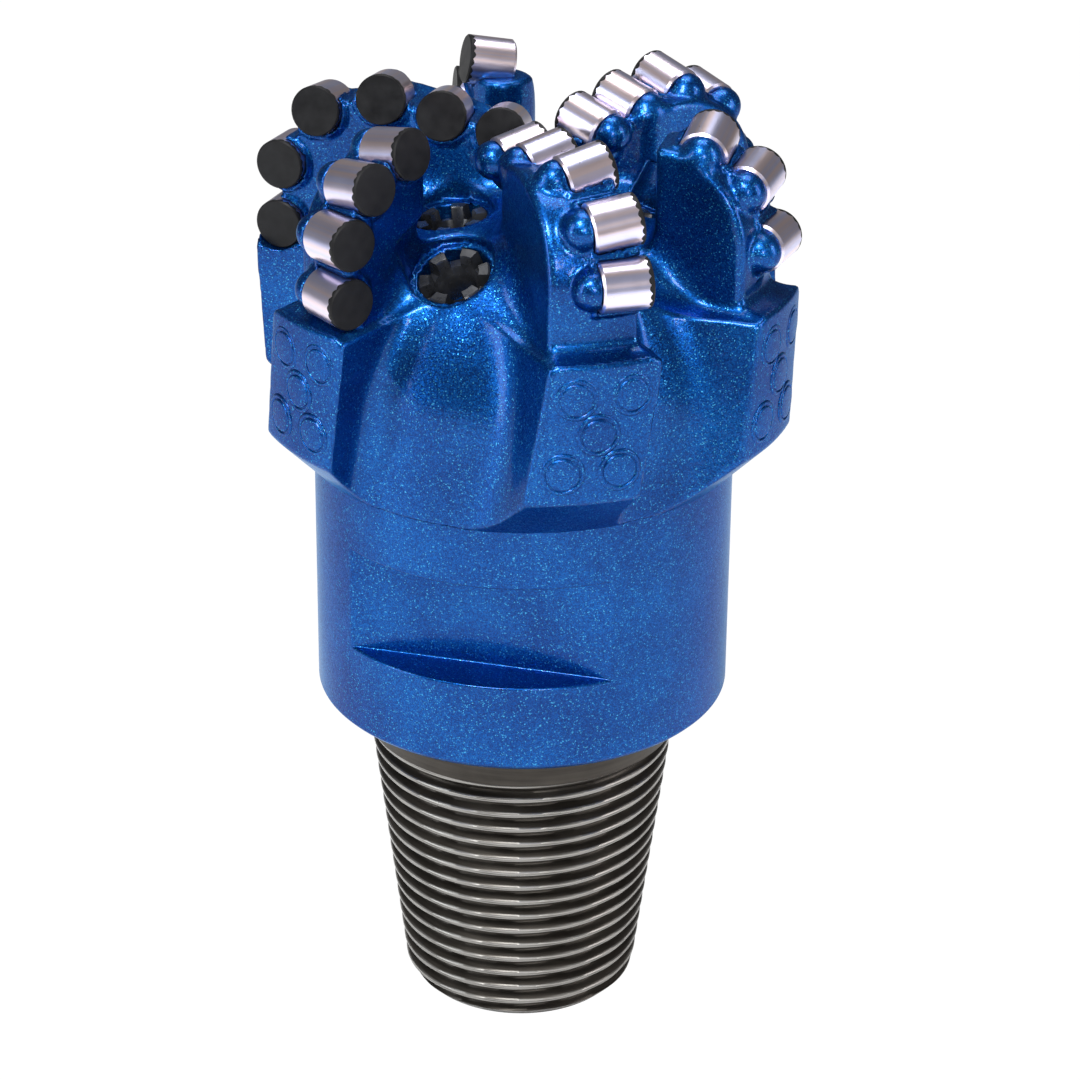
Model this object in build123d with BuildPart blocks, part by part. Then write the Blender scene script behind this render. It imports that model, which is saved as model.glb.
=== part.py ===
"""Six-bladed steel-body drill bit with brazed diamond cutters, screwed-in nozzles and a tapered pin.

The bit stands on its pin: the origin is the centre of the pin's end face, and +Z runs up the bit's
axis to the crown. Seen from above it turns anticlockwise, so every cutter faces that way.
Azimuths are in degrees from -Y towards +X. All lengths are millimetres.
"""

from build123d import *
import math
import os

# Pin and shank
PIN_LENGTH = 95.25  # make-up shoulder to pin end
PIN_LARGE_RADIUS = 44.45  # thread crest, projected to the shoulder
PIN_TAPER = 0.125  # radius lost per millimetre of length
PIN_BASE_RADIUS = 43.85  # plain cylinder under the shoulder
PIN_BASE_LENGTH = 12.7
PIN_END_CHAMFER = 3.0
BORE_RADIUS = 19.05
SHANK_RADIUS = 57.15
SHANK_HEIGHT = 72.2
SHOULDER_CHAMFER = 1.6
SPIGOT_RADIUS = 42.0  # screws up into the crown
SPIGOT_HEIGHT = 18.0
SPIGOT_CLEARANCE = 0.15

# Breaker slots, two flats milled across the shank
BREAKER_AZIMUTH = -14.4
BREAKER_FLAT = 44.3  # flat to the bit's axis
BREAKER_FOOT = 25.4  # above the shoulder
BREAKER_HEIGHT = 29.2

# Crown envelope
GAUGE_RADIUS = 74.6  # cutter tips, 149.2 mm bit
PAD_UNDER_GAUGE = 0.6
PAD_RADIUS = GAUGE_RADIUS - PAD_UNDER_GAUGE
CROWN_FOOT_RADIUS = 59.4
PAD_FOOT = 15.0  # above the crown's foot
PAD_HEIGHT = 37.0
PAD_STEP_FILLET = 5.0
BLADE_SUNK = 1.4  # blade top below the line of cutter centres
CONE_ANGLE = 12.0
SHOULDER_ARC_RADIUS = 25.5
SHOULDER_ARC_HEIGHT = 68.8  # arc centre above the crown's foot

# Hub under the junk slots
HUB_SIDE_HEIGHT = 24.0
HUB_SIDE_RADIUS = 58.4
HUB_RIM_RADIUS = 34.0
HUB_RIM_HEIGHT = 68.0
HUB_TOP_HEIGHT = 71.0

# Water way inside the crown
PLENUM_RADIUS = 27.0
PLENUM_HEIGHT = 38.0
PORT_RADIUS = 6.0

# Cutters: a carbide post with a diamond table on its leading end
CUTTER_RADIUS = 6.72
CUTTER_LENGTH = 13.2
TABLE_THICKNESS = 1.6
BACK_RAKE = 12.0
BRAZE_GAP = 0.08
BACKING_RADIUS = 5.2  # ball of steel behind each cutter
BACKING_LIFT = 1.2
BACKING_SETBACK = 1.4

# Blades: leading face and trailing face, measured from the plane of the cutter faces
BLADE_LEAD = -1.6
BLADE_TRAIL_INNER = -17.0
BLADE_TRAIL_OUTER = -27.5
PAD_LEAD = 2.0
PAD_LEAN = 8.8  # degrees from the axis
PRIMARY_INNER_CUT = 13.0
SECONDARY_INNER_ROUND = 2.5
LOW_INNER_ROUND = 7.0
LOW_TOP_RISE = 17.6  # flat top of a low blade, above the shoulder arc's centre

# Gauge buttons, five to a pad
BUTTON_RADIUS = 4.6
BUTTON_LENGTH = 5.0
BUTTON_SUNK = 0.25
BUTTON_GAP = 0.05
BUTTON_ROW = 10.2  # rise from the middle button to the outer pairs
BUTTON_SPREAD = 7.2  # half the distance between a pair

# Nozzles
NOZZLE_RADIUS = 9.5
NOZZLE_LENGTH = 13.0
NOZZLE_ORIFICE = 4.6
NOZZLE_TEETH = 6
NOZZLE_NOTCH_WIDTH = 3.6
NOZZLE_NOTCH_LENGTH = 3.2
NOZZLE_NOTCH_DEPTH = 4.0
NOZZLE_GAP = 0.1
NOZZLE_MOUTH_RADIUS = 10.6
NOZZLE_MOUTH_LENGTH = 14.0
PORT_LENGTH = 26.0  # from a nozzle's inner end into the plenum

# Worked out from the sizes above
SHOULDER_Z = PIN_LENGTH
CROWN_Z = SHOULDER_Z + SHANK_HEIGHT
PAD_FOOT_Z = CROWN_Z + PAD_FOOT
PAD_TOP_Z = PAD_FOOT_Z + PAD_HEIGHT
ARC_Z = CROWN_Z + SHOULDER_ARC_HEIGHT
CENTRE_SIDE = GAUGE_RADIUS - CUTTER_RADIUS
ARC_R = CENTRE_SIDE - SHOULDER_ARC_RADIUS
CONE = math.radians(CONE_ANGLE)
CONE_END_R = ARC_R - SHOULDER_ARC_RADIUS * math.sin(CONE)
CONE_LENGTH = CONE_END_R / math.cos(CONE)
ARC_LENGTH = SHOULDER_ARC_RADIUS * (math.pi / 2 + CONE)
OUTSIDE = PAD_RADIUS + 8.0

# One row for each blade, in the order that they pass: name, azimuth, where it starts from the axis,
# its inner end, and where its cutters stand along the line of cutter centres.
BLADES = [
    ("blade_1", -101.0, 0.0, "to_centre", (7.0, 23.4, 40.1, 59.1, 78.4, 95.5)),
    ("blade_2", -39.7, 38.0, "square", (45.4, 60.8, 76.2, 92.0)),
    ("blade_3", 27.2, 8.0, "to_centre", (10.4, 24.8, 46.0, 65.0, 81.4)),
    ("blade_4", 77.0, 38.0, "square", (51.3, 67.2, 85.4)),
    ("blade_5", 134.5, 12.0, "to_centre", (17.0, 30.8, 46.3, 64.0, 82.0)),
    ("blade_6", 198.0, 43.5, "low", (57.5, 74.0, 90.0)),
]

# One row for each nozzle: azimuth, then the centre of its outer face (distance from the axis and
# height above the crown's foot) and the tilt of its jet.
OUTER_NOZZLE = (36.5, 60.5, 28.0)
INNER_NOZZLE = (20.5, 66.5, 8.0)
NOZZLES = [
    (-30.0, *OUTER_NOZZLE),
    (97.0, *OUTER_NOZZLE),
    (212.0, *OUTER_NOZZLE),
    (-73.0, *INNER_NOZZLE),
    (57.0, *INNER_NOZZLE),
    (166.0, *INNER_NOZZLE),
]


def radial(azimuth):
    """Unit vector outwards at an azimuth."""
    a = math.radians(azimuth)
    return Vector(math.sin(a), -math.cos(a), 0)


def leading(azimuth):
    """Unit vector in the direction of turning at an azimuth."""
    a = math.radians(azimuth)
    return Vector(math.cos(a), math.sin(a), 0)


def blade_plane(azimuth, height):
    """Level plane with X outwards along a blade and Y ahead of its cutter faces."""
    return Plane(origin=(0, 0, height), x_dir=radial(azimuth), z_dir=(0, 0, 1))


def profile_point(along):
    """Radius, height and slope of the outward normal, at a length along the line of cutter centres."""
    if along < CONE_LENGTH:
        slope = -CONE
        drop = (CONE_END_R - along * math.cos(CONE)) * math.tan(CONE)
        return along * math.cos(CONE), ARC_Z + SHOULDER_ARC_RADIUS * math.cos(CONE) - drop, slope
    turned = min((along - CONE_LENGTH) / SHOULDER_ARC_RADIUS, math.pi / 2 + CONE)
    slope = turned - CONE
    down = max(0.0, along - CONE_LENGTH - ARC_LENGTH)
    radius = ARC_R + SHOULDER_ARC_RADIUS * math.sin(slope)
    return radius, ARC_Z + SHOULDER_ARC_RADIUS * math.cos(slope) - down, slope


def cutter_plane(azimuth, along):
    """Plane of a cutter's face: origin at its centre, Z out of the face."""
    radius, height, slope = profile_point(along)
    outward = radial(azimuth) * math.sin(slope) + Vector(0, 0, math.cos(slope))
    rake = math.radians(BACK_RAKE)
    facing = leading(azimuth) * math.cos(rake) + outward * math.sin(rake)
    centre = radial(azimuth) * radius + Vector(0, 0, height)
    return Plane(origin=centre, x_dir=outward.cross(facing), z_dir=facing), outward


def button_planes(azimuth):
    """Planes of one pad's five gauge buttons: origin on the pad's surface, Z outwards."""
    middle_z = (PAD_FOOT_Z + PAD_TOP_Z) / 2
    middle_t = (PAD_LEAD + BLADE_TRAIL_OUTER) / 2
    planes = []
    for across, rise in [(0, 0), (-1, 1), (1, 1), (-1, -1), (1, -1)]:
        height = middle_z + rise * BUTTON_ROW
        lean = (height - PAD_TOP_Z) * math.tan(math.radians(PAD_LEAN))
        ahead = middle_t + lean + across * BUTTON_SPREAD
        turned = azimuth + math.degrees(math.asin(ahead / PAD_RADIUS))
        outward = radial(turned)
        face = outward * (PAD_RADIUS - BUTTON_SUNK) + Vector(0, 0, height)
        planes.append(Plane(origin=face, x_dir=(0, 0, 1), z_dir=outward))
    return planes


def nozzle_plane(azimuth, radius, rise, tilt):
    """Plane of a nozzle's outer face: Z is the way the jet leaves."""
    t = math.radians(tilt)
    jet = radial(azimuth) * math.sin(t) + Vector(0, 0, math.cos(t))
    centre = radial(azimuth) * radius + Vector(0, 0, CROWN_Z + rise)
    return Plane(origin=centre, x_dir=leading(azimuth), z_dir=jet)


def blade_corners(inner, ending):
    """Corners of a blade's plan above its pad, in its blade_plane, from the inner leading edge."""
    corners = [(inner, BLADE_LEAD), (inner, BLADE_TRAIL_INNER)]
    if ending == "to_centre":
        corners = [
            (inner, BLADE_LEAD),
            (inner, BLADE_TRAIL_INNER + PRIMARY_INNER_CUT),
            (inner + PRIMARY_INNER_CUT, BLADE_TRAIL_INNER),
        ]
    return corners + [(OUTSIDE, BLADE_TRAIL_OUTER), (OUTSIDE, BLADE_LEAD)]


os.makedirs("parts", exist_ok=True)

# Shank: tapered pin, shoulder, breaker slots and the spigot that holds the crown.
pin_end_radius = PIN_LARGE_RADIUS - PIN_LENGTH * PIN_TAPER
pin_top_radius = PIN_LARGE_RADIUS - PIN_BASE_LENGTH * PIN_TAPER
with BuildPart() as shank:
    with BuildSketch(Plane.XZ):
        with BuildLine():
            Polyline(
                (BORE_RADIUS, 0),
                (pin_end_radius - PIN_END_CHAMFER, 0),
                (pin_end_radius + PIN_END_CHAMFER * PIN_TAPER, PIN_END_CHAMFER),
                (pin_top_radius, SHOULDER_Z - PIN_BASE_LENGTH),
                (PIN_BASE_RADIUS, SHOULDER_Z - PIN_BASE_LENGTH),
                (PIN_BASE_RADIUS, SHOULDER_Z),
                (SHANK_RADIUS - SHOULDER_CHAMFER, SHOULDER_Z),
                (SHANK_RADIUS, SHOULDER_Z + SHOULDER_CHAMFER),
                (SHANK_RADIUS, CROWN_Z),
                (SPIGOT_RADIUS, CROWN_Z),
                (SPIGOT_RADIUS, CROWN_Z + SPIGOT_HEIGHT),
                (BORE_RADIUS, CROWN_Z + SPIGOT_HEIGHT),
                close=True,
            )
        make_face()
    revolve(axis=Axis.Z)
    breaker_middle = SHOULDER_Z + BREAKER_FOOT + BREAKER_HEIGHT / 2
    for side in (0, 180):
        with BuildSketch(blade_plane(BREAKER_AZIMUTH + side, breaker_middle)):
            with Locations((BREAKER_FLAT + SHANK_RADIUS / 2, 0)):
                Rectangle(SHANK_RADIUS, 2 * SHANK_RADIUS)
        extrude(amount=BREAKER_HEIGHT / 2, both=True, mode=Mode.SUBTRACT)
shank.part.label = "shank"
export_step(shank.part, "parts/shank.step")

# Crown: blades inside one turned envelope, on a turned hub, with pockets, ports and button holes.
blade_side = CENTRE_SIDE - BLADE_SUNK
arc_radius = SHOULDER_ARC_RADIUS - BLADE_SUNK
cone_start = (ARC_R - arc_radius * math.sin(CONE), ARC_Z + arc_radius * math.cos(CONE))
apex_z = cone_start[1] - cone_start[0] * math.tan(CONE)
with BuildPart() as envelope:
    with BuildSketch(Plane.XZ):
        with BuildLine():
            Polyline(
                (0, apex_z),
                (0, CROWN_Z),
                (CROWN_FOOT_RADIUS, CROWN_Z),
                (PAD_RADIUS, PAD_FOOT_Z),
                (PAD_RADIUS, PAD_TOP_Z - 1),
                (PAD_RADIUS - 1, PAD_TOP_Z),
                (blade_side + PAD_STEP_FILLET, PAD_TOP_Z),
            )
            CenterArc(
                (blade_side + PAD_STEP_FILLET, PAD_TOP_Z + PAD_STEP_FILLET),
                PAD_STEP_FILLET, 270, -90,
            )
            Line((blade_side, PAD_TOP_Z + PAD_STEP_FILLET), (blade_side, ARC_Z))
            CenterArc((ARC_R, ARC_Z), arc_radius, 0, 90 + CONE_ANGLE)
            Line(cone_start, (0, apex_z))
        make_face()
    revolve(axis=Axis.Z)

blade_bodies = []
for name, azimuth, inner, ending, places in BLADES:
    with BuildPart() as blade:
        with BuildSketch(blade_plane(azimuth, PAD_TOP_Z - PAD_STEP_FILLET)) as upper:
            with BuildLine():
                Polyline(*blade_corners(inner, ending), close=True)
            make_face()
            if ending != "to_centre":
                rounding = LOW_INNER_ROUND if ending == "low" else SECONDARY_INNER_ROUND
                inner_end = blade_plane(azimuth, PAD_TOP_Z).from_local_coords((inner, 0))
                corners = upper.vertices().sort_by_distance(inner_end)[:2]
                fillet(corners if ending == "low" else corners[1], rounding)
        extrude(amount=ARC_Z + 2 * SHOULDER_ARC_RADIUS - PAD_TOP_Z)
        with BuildSketch(blade_plane(azimuth, PAD_TOP_Z), mode=Mode.PRIVATE) as pad:
            with Locations(((HUB_RIM_RADIUS + OUTSIDE) / 2, (PAD_LEAD + BLADE_TRAIL_OUTER) / 2)):
                Rectangle(OUTSIDE - HUB_RIM_RADIUS, PAD_LEAD - BLADE_TRAIL_OUTER)
        slant = Vector(0, 0, -1) - leading(azimuth) * math.tan(math.radians(PAD_LEAN))
        extrude(pad.sketch, amount=(PAD_TOP_Z - CROWN_Z) * slant.length, dir=slant.normalized())
        add(envelope.part, mode=Mode.INTERSECT)
        if ending == "low":
            split(bisect_by=Plane.XY.offset(ARC_Z + LOW_TOP_RISE), keep=Keep.BOTTOM)
    blade_bodies.append(blade.part)

with BuildPart() as crown:
    with BuildSketch(Plane.XZ):
        with BuildLine():
            Polyline(
                (0, CROWN_Z + HUB_TOP_HEIGHT),
                (0, CROWN_Z),
                (CROWN_FOOT_RADIUS, CROWN_Z),
                (HUB_SIDE_RADIUS, CROWN_Z + HUB_SIDE_HEIGHT),
            )
            TangentArc(
                (HUB_SIDE_RADIUS, CROWN_Z + HUB_SIDE_HEIGHT),
                (HUB_RIM_RADIUS, CROWN_Z + HUB_RIM_HEIGHT),
                tangent=(HUB_SIDE_RADIUS - CROWN_FOOT_RADIUS, HUB_SIDE_HEIGHT),
            )
            Line((HUB_RIM_RADIUS, CROWN_Z + HUB_RIM_HEIGHT), (0, CROWN_Z + HUB_TOP_HEIGHT))
        make_face()
    revolve(axis=Axis.Z)
    for body in blade_bodies:
        add(body)
    for name, azimuth, inner, ending, places in BLADES:
        for place in places:
            face, outward = cutter_plane(azimuth, place)
            rear = face.origin - face.z_dir * (CUTTER_LENGTH + BACKING_SETBACK)
            ball = Plane(origin=rear + outward * BACKING_LIFT, x_dir=face.x_dir, z_dir=outward)
            with Locations(ball):
                Sphere(BACKING_RADIUS)
    for name, azimuth, inner, ending, places in BLADES:
        for place in places:
            face, outward = cutter_plane(azimuth, place)
            with BuildSketch(face.offset(-CUTTER_LENGTH)):
                Circle(CUTTER_RADIUS + BRAZE_GAP)
            extrude(amount=CUTTER_LENGTH + CUTTER_RADIUS, mode=Mode.SUBTRACT)
        for button in button_planes(azimuth):
            with BuildSketch(button.offset(-BUTTON_LENGTH)):
                Circle(BUTTON_RADIUS + BUTTON_GAP)
            extrude(amount=BUTTON_LENGTH + 3, mode=Mode.SUBTRACT)
    with BuildSketch(Plane.XZ):
        with BuildLine():
            Polyline(
                (0, CROWN_Z),
                (SPIGOT_RADIUS + SPIGOT_CLEARANCE, CROWN_Z),
                (SPIGOT_RADIUS + SPIGOT_CLEARANCE, CROWN_Z + SPIGOT_HEIGHT),
                (PLENUM_RADIUS, CROWN_Z + SPIGOT_HEIGHT),
                (PLENUM_RADIUS, CROWN_Z + PLENUM_HEIGHT - PLENUM_RADIUS / 2),
                (PLENUM_RADIUS / 2, CROWN_Z + PLENUM_HEIGHT),
                (0, CROWN_Z + PLENUM_HEIGHT),
                close=True,
            )
        make_face()
    revolve(axis=Axis.Z, mode=Mode.SUBTRACT)
    for nozzle in NOZZLES:
        seat = nozzle_plane(*nozzle)
        with BuildSketch(seat.offset(-NOZZLE_LENGTH)):
            Circle(NOZZLE_RADIUS + NOZZLE_GAP)
        extrude(amount=NOZZLE_LENGTH, mode=Mode.SUBTRACT)
        with BuildSketch(seat):
            Circle(NOZZLE_MOUTH_RADIUS)
        extrude(amount=NOZZLE_MOUTH_LENGTH, mode=Mode.SUBTRACT)
        with BuildSketch(seat.offset(-NOZZLE_LENGTH)):
            Circle(PORT_RADIUS)
        extrude(amount=-PORT_LENGTH, mode=Mode.SUBTRACT)
crown_body = crown.part.solids().sort_by(SortBy.VOLUME)[-1]
crown_body.label = "crown"
export_step(crown_body, "parts/crown.step")

# Cutters: one carbide post a node, and the diamond tables of a blade together.
for name, azimuth, inner, ending, places in BLADES:
    with BuildPart() as tables:
        for place in places:
            face, outward = cutter_plane(azimuth, place)
            with BuildSketch(face.offset(-TABLE_THICKNESS)):
                Circle(CUTTER_RADIUS)
            extrude(amount=TABLE_THICKNESS)
    tables.part.label = f"{name}_diamond_tables"
    export_step(tables.part, f"parts/{name}_diamond_tables.step")
    for number, place in enumerate(places, start=1):
        face, outward = cutter_plane(azimuth, place)
        with BuildPart() as post:
            with BuildSketch(face.offset(-CUTTER_LENGTH)):
                Circle(CUTTER_RADIUS)
            extrude(amount=CUTTER_LENGTH - TABLE_THICKNESS)
        post.part.label = f"{name}_cutter_{number}"
        export_step(post.part, f"parts/{name}_cutter_{number}.step")
    with BuildPart() as buttons:
        for button in button_planes(azimuth):
            with BuildSketch(button.offset(-BUTTON_LENGTH)):
                Circle(BUTTON_RADIUS)
            extrude(amount=BUTTON_LENGTH)
    buttons.part.label = f"{name}_gauge_buttons"
    export_step(buttons.part, f"parts/{name}_gauge_buttons.step")

# Nozzles, notched round the rim for the wrench that screws them in.
for number, nozzle in enumerate(NOZZLES, start=1):
    seat = nozzle_plane(*nozzle)
    with BuildPart() as insert:
        with BuildSketch(seat.offset(-NOZZLE_LENGTH)):
            Circle(NOZZLE_RADIUS)
            Circle(NOZZLE_ORIFICE, mode=Mode.SUBTRACT)
        extrude(amount=NOZZLE_LENGTH)
        with BuildSketch(seat):
            with PolarLocations(NOZZLE_RADIUS, NOZZLE_TEETH):
                Rectangle(2 * NOZZLE_NOTCH_LENGTH, NOZZLE_NOTCH_WIDTH)
        extrude(amount=-NOZZLE_NOTCH_DEPTH, mode=Mode.SUBTRACT)
    insert.part.label = f"nozzle_{number}"
    export_step(insert.part, f"parts/nozzle_{number}.step")
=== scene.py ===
"""Looks for a six-bladed steel-body drill bit: painted crown and shank, cutters, nozzles and pin.

Lengths in the layout are millimetres, as a drawing gives them, and meshes are built in metres.
Azimuths are degrees from -Y towards +X. The cutters face anticlockwise seen from above.
"""

import logging
import math
from dataclasses import dataclass, field
from enum import Enum
from typing import Callable, Sequence

import bmesh
import bpy
import numpy as np
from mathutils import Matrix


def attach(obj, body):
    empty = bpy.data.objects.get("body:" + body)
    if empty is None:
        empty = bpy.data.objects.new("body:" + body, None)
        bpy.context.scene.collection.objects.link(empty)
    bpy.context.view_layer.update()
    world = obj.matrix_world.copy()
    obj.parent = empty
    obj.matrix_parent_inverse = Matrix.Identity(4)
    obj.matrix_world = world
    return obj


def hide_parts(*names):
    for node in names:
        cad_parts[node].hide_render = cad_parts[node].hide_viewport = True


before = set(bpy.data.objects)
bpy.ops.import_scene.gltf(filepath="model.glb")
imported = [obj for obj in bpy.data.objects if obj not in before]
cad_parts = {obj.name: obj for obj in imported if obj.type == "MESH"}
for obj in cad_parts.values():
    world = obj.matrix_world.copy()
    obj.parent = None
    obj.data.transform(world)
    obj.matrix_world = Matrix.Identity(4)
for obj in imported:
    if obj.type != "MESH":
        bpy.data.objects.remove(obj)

import openvdb
from mathutils import Matrix, Vector

logging.basicConfig(level=logging.INFO, format="%(name)s: %(message)s")
LOG = logging.getLogger("drill_bit")

MM = 0.001
ROOT = "root"


class Ending(Enum):
    """How a blade ends towards the bit's axis."""

    TO_CENTRE = "to_centre"
    SQUARE = "square"
    LOW = "low"


# ---------------------------------------------------------------------------------------------
# Layout
# ---------------------------------------------------------------------------------------------


@dataclass(frozen=True)
class Shank:
    """Sizes of the pin and shank."""

    pin_length: float = 95.25
    pin_large_radius: float = 44.45
    taper: float = 0.125
    base_radius: float = 43.85
    base_length: float = 12.7
    end_chamfer: float = 3.0
    bore_radius: float = 19.05
    radius: float = 57.15
    height: float = 72.2
    shoulder_chamfer: float = 1.6
    breaker_azimuth: float = -14.4
    breaker_flat: float = 44.3
    breaker_foot: float = 25.4
    breaker_height: float = 29.2
    thread_pitch: float = 5.08
    thread_depth: float = 2.7


@dataclass(frozen=True)
class Crown:
    """Sizes of the crown's envelope, hub and blades."""

    foot_z: float = 167.45
    foot_radius: float = 59.4
    pad_radius: float = 74.0
    pad_foot: float = 15.0
    pad_height: float = 37.0
    step_fillet: float = 5.0
    centre_side: float = 67.88
    blade_sunk: float = 1.4
    cone: float = math.radians(12.0)
    arc_radius: float = 25.5
    arc_rise: float = 68.8
    hub_side_rise: float = 24.0
    hub_side_radius: float = 58.4
    hub_rim_radius: float = 34.0
    hub_rim_rise: float = 68.0
    hub_top_rise: float = 71.0
    blade_lead: float = -1.6
    trail_inner: float = -17.0
    trail_outer: float = -27.5
    pad_lead: float = 2.0
    pad_lean: float = math.tan(math.radians(8.8))
    outside: float = 82.0
    inner_cut: float = 13.0
    low_top_rise: float = 17.6

    @property
    def pad_foot_z(self) -> float:
        """Height of the pads' lower edge."""
        return self.foot_z + self.pad_foot

    @property
    def pad_top_z(self) -> float:
        """Height of the pads' upper edge."""
        return self.pad_foot_z + self.pad_height

    @property
    def arc_z(self) -> float:
        """Height of the shoulder arc's centre."""
        return self.foot_z + self.arc_rise

    @property
    def arc_r(self) -> float:
        """Distance of the shoulder arc's centre from the axis."""
        return self.centre_side - self.arc_radius


@dataclass(frozen=True)
class Cutter:
    """Sizes of a cutter and of the ball of steel behind it."""

    radius: float = 6.72
    length: float = 13.2
    table: float = 1.6
    back_rake: float = math.radians(12.0)
    braze_gap: float = 0.08
    ball_radius: float = 5.2
    ball_lift: float = 1.2
    ball_setback: float = 1.4


@dataclass(frozen=True)
class Button:
    """Pattern of the gauge buttons on a pad."""

    row: float = 10.2
    spread: float = 7.2


@dataclass(frozen=True)
class Nozzle:
    """Sizes of a jet nozzle."""

    radius: float = 9.5
    length: float = 13.0
    orifice: float = 4.6
    teeth: int = 6
    notch_width: float = 3.6
    notch_length: float = 3.2
    notch_depth: float = 4.0
    mouth_radius: float = 10.6
    mouth_length: float = 14.0


@dataclass(frozen=True)
class BladeRow:
    """One blade: where it stands, how it ends and where its cutters are along the profile."""

    name: str
    azimuth: float
    inner: float
    ending: Ending
    places: tuple[float, ...]


SHANK = Shank()
CROWN = Crown()
CUTTER = Cutter()
BUTTON = Button()
NOZZLE = Nozzle()

BLADES = (
    BladeRow("blade_1", -101.0, 0.0, Ending.TO_CENTRE, (7.0, 23.4, 40.1, 59.1, 78.4, 95.5)),
    BladeRow("blade_2", -39.7, 38.0, Ending.SQUARE, (45.4, 60.8, 76.2, 92.0)),
    BladeRow("blade_3", 27.2, 8.0, Ending.TO_CENTRE, (10.4, 24.8, 46.0, 65.0, 81.4)),
    BladeRow("blade_4", 77.0, 38.0, Ending.SQUARE, (51.3, 67.2, 85.4)),
    BladeRow("blade_5", 134.5, 12.0, Ending.TO_CENTRE, (17.0, 30.8, 46.3, 64.0, 82.0)),
    BladeRow("blade_6", 198.0, 43.5, Ending.LOW, (57.5, 74.0, 90.0)),
)

OUTER_NOZZLE = (36.5, 60.5, 28.0)
INNER_NOZZLE = (20.5, 66.5, 8.0)
NOZZLES = (
    (-30.0, *OUTER_NOZZLE),
    (97.0, *OUTER_NOZZLE),
    (212.0, *OUTER_NOZZLE),
    (-73.0, *INNER_NOZZLE),
    (57.0, *INNER_NOZZLE),
    (166.0, *INNER_NOZZLE),
)


def radial(azimuth: float) -> np.ndarray:
    """Unit vector outwards at an azimuth.

    Args:
        azimuth: degrees from -Y towards +X.

    Returns:
        The vector.
    """
    a = math.radians(azimuth)
    return np.array([math.sin(a), -math.cos(a), 0.0])


def leading(azimuth: float) -> np.ndarray:
    """Unit vector in the direction of turning at an azimuth.

    Args:
        azimuth: degrees from -Y towards +X.

    Returns:
        The vector.
    """
    a = math.radians(azimuth)
    return np.array([math.cos(a), math.sin(a), 0.0])


UP = np.array([0.0, 0.0, 1.0])


@dataclass(frozen=True)
class Seat:
    """A right-handed set of axes: x, y, and z out of a cutter's or nozzle's face."""

    origin: np.ndarray
    x: np.ndarray
    y: np.ndarray
    z: np.ndarray

    def matrix(self) -> Matrix:
        """The seat as a transform.

        Returns:
            A 4 by 4 matrix in metres.
        """
        m = Matrix.Identity(4)
        for column, axis in enumerate((self.x, self.y, self.z)):
            for row in range(3):
                m[row][column] = axis[row]
        for row in range(3):
            m[row][3] = self.origin[row] * MM
        return m


def cutter_seat(azimuth: float, along: float) -> Seat:
    """Seat of a cutter's face; its y axis is outwards from the crown.

    Args:
        azimuth: of the blade.
        along: length along the line of cutter centres, from the axis.

    Returns:
        The seat, in millimetres.
    """
    cone_end = CROWN.arc_r - CROWN.arc_radius * math.sin(CROWN.cone)
    cone_length = cone_end / math.cos(CROWN.cone)
    if along < cone_length:
        slope = -CROWN.cone
        radius = along * math.cos(CROWN.cone)
        height = CROWN.arc_z + CROWN.arc_radius * math.cos(CROWN.cone)
        height -= (cone_end - radius) * math.tan(CROWN.cone)
    else:
        turned = min((along - cone_length) / CROWN.arc_radius, math.pi / 2 + CROWN.cone)
        slope = turned - CROWN.cone
        down = max(0.0, along - cone_length - CROWN.arc_radius * (math.pi / 2 + CROWN.cone))
        radius = CROWN.arc_r + CROWN.arc_radius * math.sin(slope)
        height = CROWN.arc_z + CROWN.arc_radius * math.cos(slope) - down
    outward = radial(azimuth) * math.sin(slope) + UP * math.cos(slope)
    facing = leading(azimuth) * math.cos(CUTTER.back_rake) + outward * math.sin(CUTTER.back_rake)
    x = np.cross(outward, facing)
    x /= np.linalg.norm(x)
    return Seat(radial(azimuth) * radius + UP * height, x, np.cross(facing, x), facing)


def nozzle_seat(azimuth: float, radius: float, rise: float, tilt: float) -> Seat:
    """Seat of a nozzle's outer face; z is the way the jet leaves.

    Args:
        azimuth: of the nozzle.
        radius: of the face's centre from the axis.
        rise: of the face's centre above the crown's foot.
        tilt: of the jet from the bit's axis, in degrees.

    Returns:
        The seat, in millimetres.
    """
    t = math.radians(tilt)
    jet = radial(azimuth) * math.sin(t) + UP * math.cos(t)
    origin = radial(azimuth) * radius + UP * (CROWN.foot_z + rise)
    x = leading(azimuth)
    return Seat(origin, x, np.cross(jet, x), jet)


def button_places(azimuth: float) -> list[tuple[float, float]]:
    """Azimuth and height of the five buttons on a pad.

    Args:
        azimuth: of the blade.

    Returns:
        Pairs of azimuth in degrees and height in millimetres.
    """
    middle_z = (CROWN.pad_foot_z + CROWN.pad_top_z) / 2
    middle_t = (CROWN.pad_lead + CROWN.trail_outer) / 2
    places = []
    for across, rise in ((0, 0), (-1, 1), (1, 1), (-1, -1), (1, -1)):
        height = middle_z + rise * BUTTON.row
        ahead = middle_t + (height - CROWN.pad_top_z) * CROWN.pad_lean + across * BUTTON.spread
        places.append((azimuth + math.degrees(math.asin(ahead / CROWN.pad_radius)), height))
    return places


# ---------------------------------------------------------------------------------------------
# Distance field of the crown
# ---------------------------------------------------------------------------------------------


def soft_min(a: np.ndarray, b: np.ndarray, k: float) -> np.ndarray:
    """Union of two distance fields with a cove of about k where they meet.

    Args:
        a: first field.
        b: second field.
        k: size of the cove in millimetres.

    Returns:
        The joined field.
    """
    h = np.maximum(k - np.abs(a - b), 0.0) / k
    return np.minimum(a, b) - h * h * k * 0.25


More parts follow.
